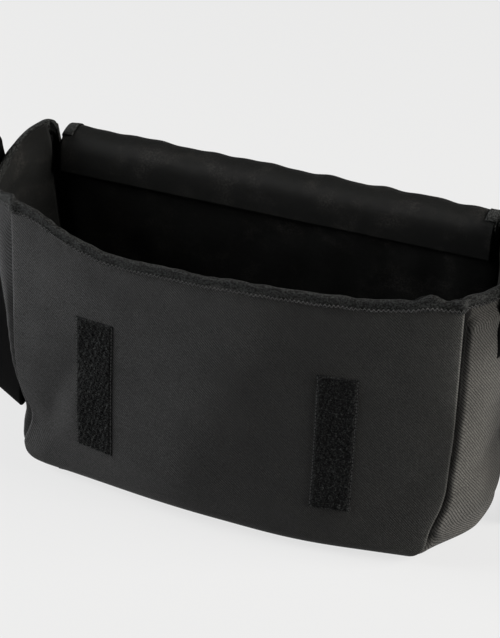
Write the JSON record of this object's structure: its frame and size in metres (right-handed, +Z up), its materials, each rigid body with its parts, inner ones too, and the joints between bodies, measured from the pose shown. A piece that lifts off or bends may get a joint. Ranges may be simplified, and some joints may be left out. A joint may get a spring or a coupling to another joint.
{
  "type": "messenger bag",
  "caption": "Soft shoulder bag with a wide mouth, a full-width flap thrown back, a padded sleeve inside and an adjustable webbing strap.",
  "frame": {"origin": "middle of the bag's flat bottom, on the surface it stands on", "axes": "+Z up, +X along the bag's width, to the right of a person facing its front, and -Y out of its front"},
  "size_m": [0.5157, 0.4057, 0.2521],
  "materials": {
    "shell_twill": "woven twill, matte",
    "side_twill": "woven twill, matte",
    "lining_cloth": "fine plain weave, matte",
    "binding_tape": "ribbed tape, matte",
    "fastener_tape": "hook and loop, matte",
    "webbing": "woven, matte",
    "foam": "open foam, matte",
    "board": "matte",
    "buckle_plastic": "fine moulded grain"
  },
  "bodies": {
    "bag": {"front_panel": "shell_twill", "back_panel": "shell_twill", "gusset": "side_twill", "front_lining": "lining_cloth", "back_lining": "lining_cloth", "gusset_lining": "lining_cloth", "back_foam": "foam", "base_board": "board", "divider_front_cloth": "lining_cloth", "divider_foam": "foam", "divider_back_cloth": "lining_cloth", "divider_binding": "binding_tape", "mouth_binding_front": "binding_tape", "mouth_binding_left": "binding_tape", "mouth_binding_right": "binding_tape", "loop_strip_left": "fastener_tape", "loop_strip_right": "fastener_tape", "strap_tab_left": "webbing", "strap_tab_right": "webbing"},
    "flap_hinge": {"flap_hinge_shell": "shell_twill", "flap_hinge_lining": "lining_cloth"},
    "flap_top": {"flap_top_shell": "shell_twill", "flap_top_lining": "lining_cloth", "flap_top_binding_left": "binding_tape", "flap_top_binding_right": "binding_tape"},
    "flap_front": {"flap_front_shell": "shell_twill", "flap_front_lining": "lining_cloth", "flap_front_binding": "binding_tape", "hook_strip_left": "fastener_tape", "hook_strip_right": "fastener_tape"},
    "strap": {"strap_short": "webbing", "strap_long": "webbing", "strap_return": "webbing", "ring": "buckle_plastic"},
    "strap_slider": {"slider": "buckle_plastic", "slider_loop": "webbing"}
  },
  "joints": [
    {"name": "flap_swing", "type": "hinge", "parent": "flap_hinge", "child": "flap_top", "pos_m": [0, 0.08, 0.24], "axis": [1, 0, 0], "range_deg": [0, 135]},
    {"name": "flap_lift", "type": "hinge", "parent": "bag", "child": "flap_hinge", "pos_m": [0, 0.0565, 0.24], "axis": [1, 0, 0], "range_deg": [0, 135]},
    {"name": "flap_fold", "type": "hinge", "parent": "flap_top", "child": "flap_front", "pos_m": [0, 0.08, 0.114], "axis": [1, 0, 0], "range_deg": [0, 30.5]},
    {"name": "strap_swing", "type": "hinge", "parent": "bag", "child": "strap", "pos_m": [0, 0, 0.25], "axis": [1, 0, 0], "range_deg": [0, 240]},
    {"name": "slider_slide", "type": "slide", "parent": "strap", "child": "strap_slider", "axis": [-1, 0, 0], "range_m": [0, 0.055], "deforming": ["strap_return"]}
  ],
  "couplings": [
    {"joint": "flap_lift", "follows": "flap_swing", "ratio": 1}
  ]
}
